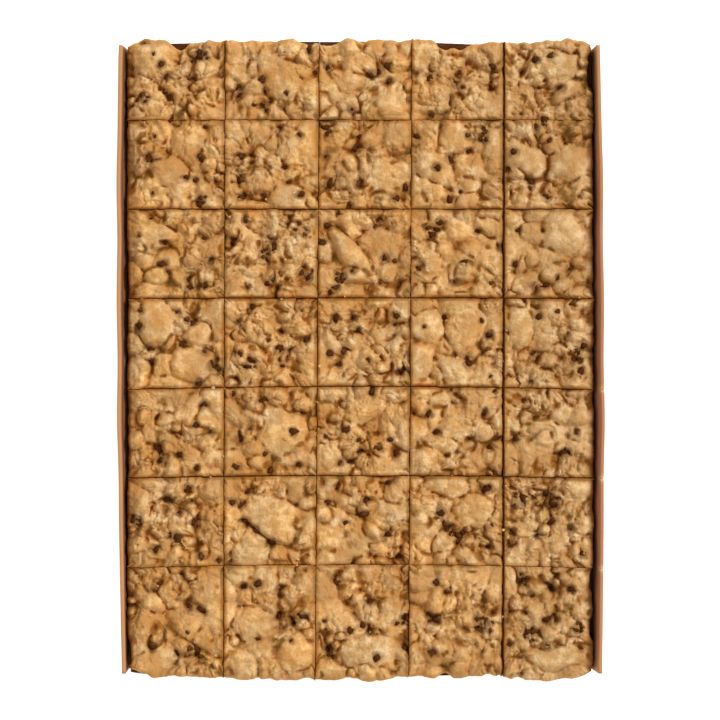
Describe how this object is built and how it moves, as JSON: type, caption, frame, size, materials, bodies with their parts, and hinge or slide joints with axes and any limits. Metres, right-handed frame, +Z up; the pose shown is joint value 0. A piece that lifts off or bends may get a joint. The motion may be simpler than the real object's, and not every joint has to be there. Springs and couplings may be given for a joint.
{
  "type": "brookie traybake",
  "caption": "Tray-baked slab of brownie under crumbled chocolate-chip cookie dough, cut into squares and carried in a folded kraft card liner with two standing sides.",
  "frame": {"origin": "middle of the bottom of the bounding box, on the surface under the card liner", "axes": "+X across the slab, to the right as pictured; +Y along the slab to its far end, the top of the picture; +Z up"},
  "size_m": [0.3121, 0.4088, 0.0306],
  "materials": {
    "cookie_dough": "matte",
    "brownie": "matte",
    "chocolate": "satin",
    "kraft_card": "matte"
  },
  "bodies": {
    "root": {"card_liner": "kraft_card", "square_r1_c1": "cookie_dough", "square_r1_c2": "cookie_dough", "square_r1_c3": "cookie_dough", "square_r1_c4": "cookie_dough", "square_r1_c5": "cookie_dough", "square_r2_c1": "cookie_dough", "square_r2_c2": "cookie_dough", "square_r2_c3": "cookie_dough", "square_r2_c4": "cookie_dough", "square_r2_c5": "cookie_dough", "square_r3_c1": "cookie_dough", "square_r3_c2": "cookie_dough", "square_r3_c3": "cookie_dough", "square_r3_c4": "cookie_dough", "square_r3_c5": "cookie_dough", "square_r4_c1": "cookie_dough", "square_r4_c2": "cookie_dough", "square_r4_c3": "cookie_dough", "square_r4_c4": "cookie_dough", "square_r4_c5": "cookie_dough", "square_r5_c1": "cookie_dough", "square_r5_c2": "cookie_dough", "square_r5_c3": "cookie_dough", "square_r5_c4": "cookie_dough", "square_r5_c5": "cookie_dough", "square_r6_c1": "cookie_dough", "square_r6_c2": "cookie_dough", "square_r6_c3": "cookie_dough", "square_r6_c4": "cookie_dough", "square_r6_c5": "cookie_dough", "square_r7_c1": "cookie_dough", "square_r7_c2": "cookie_dough", "square_r7_c3": "cookie_dough", "square_r7_c4": "cookie_dough", "square_r7_c5": "cookie_dough"}
  },
  "joints": []
}
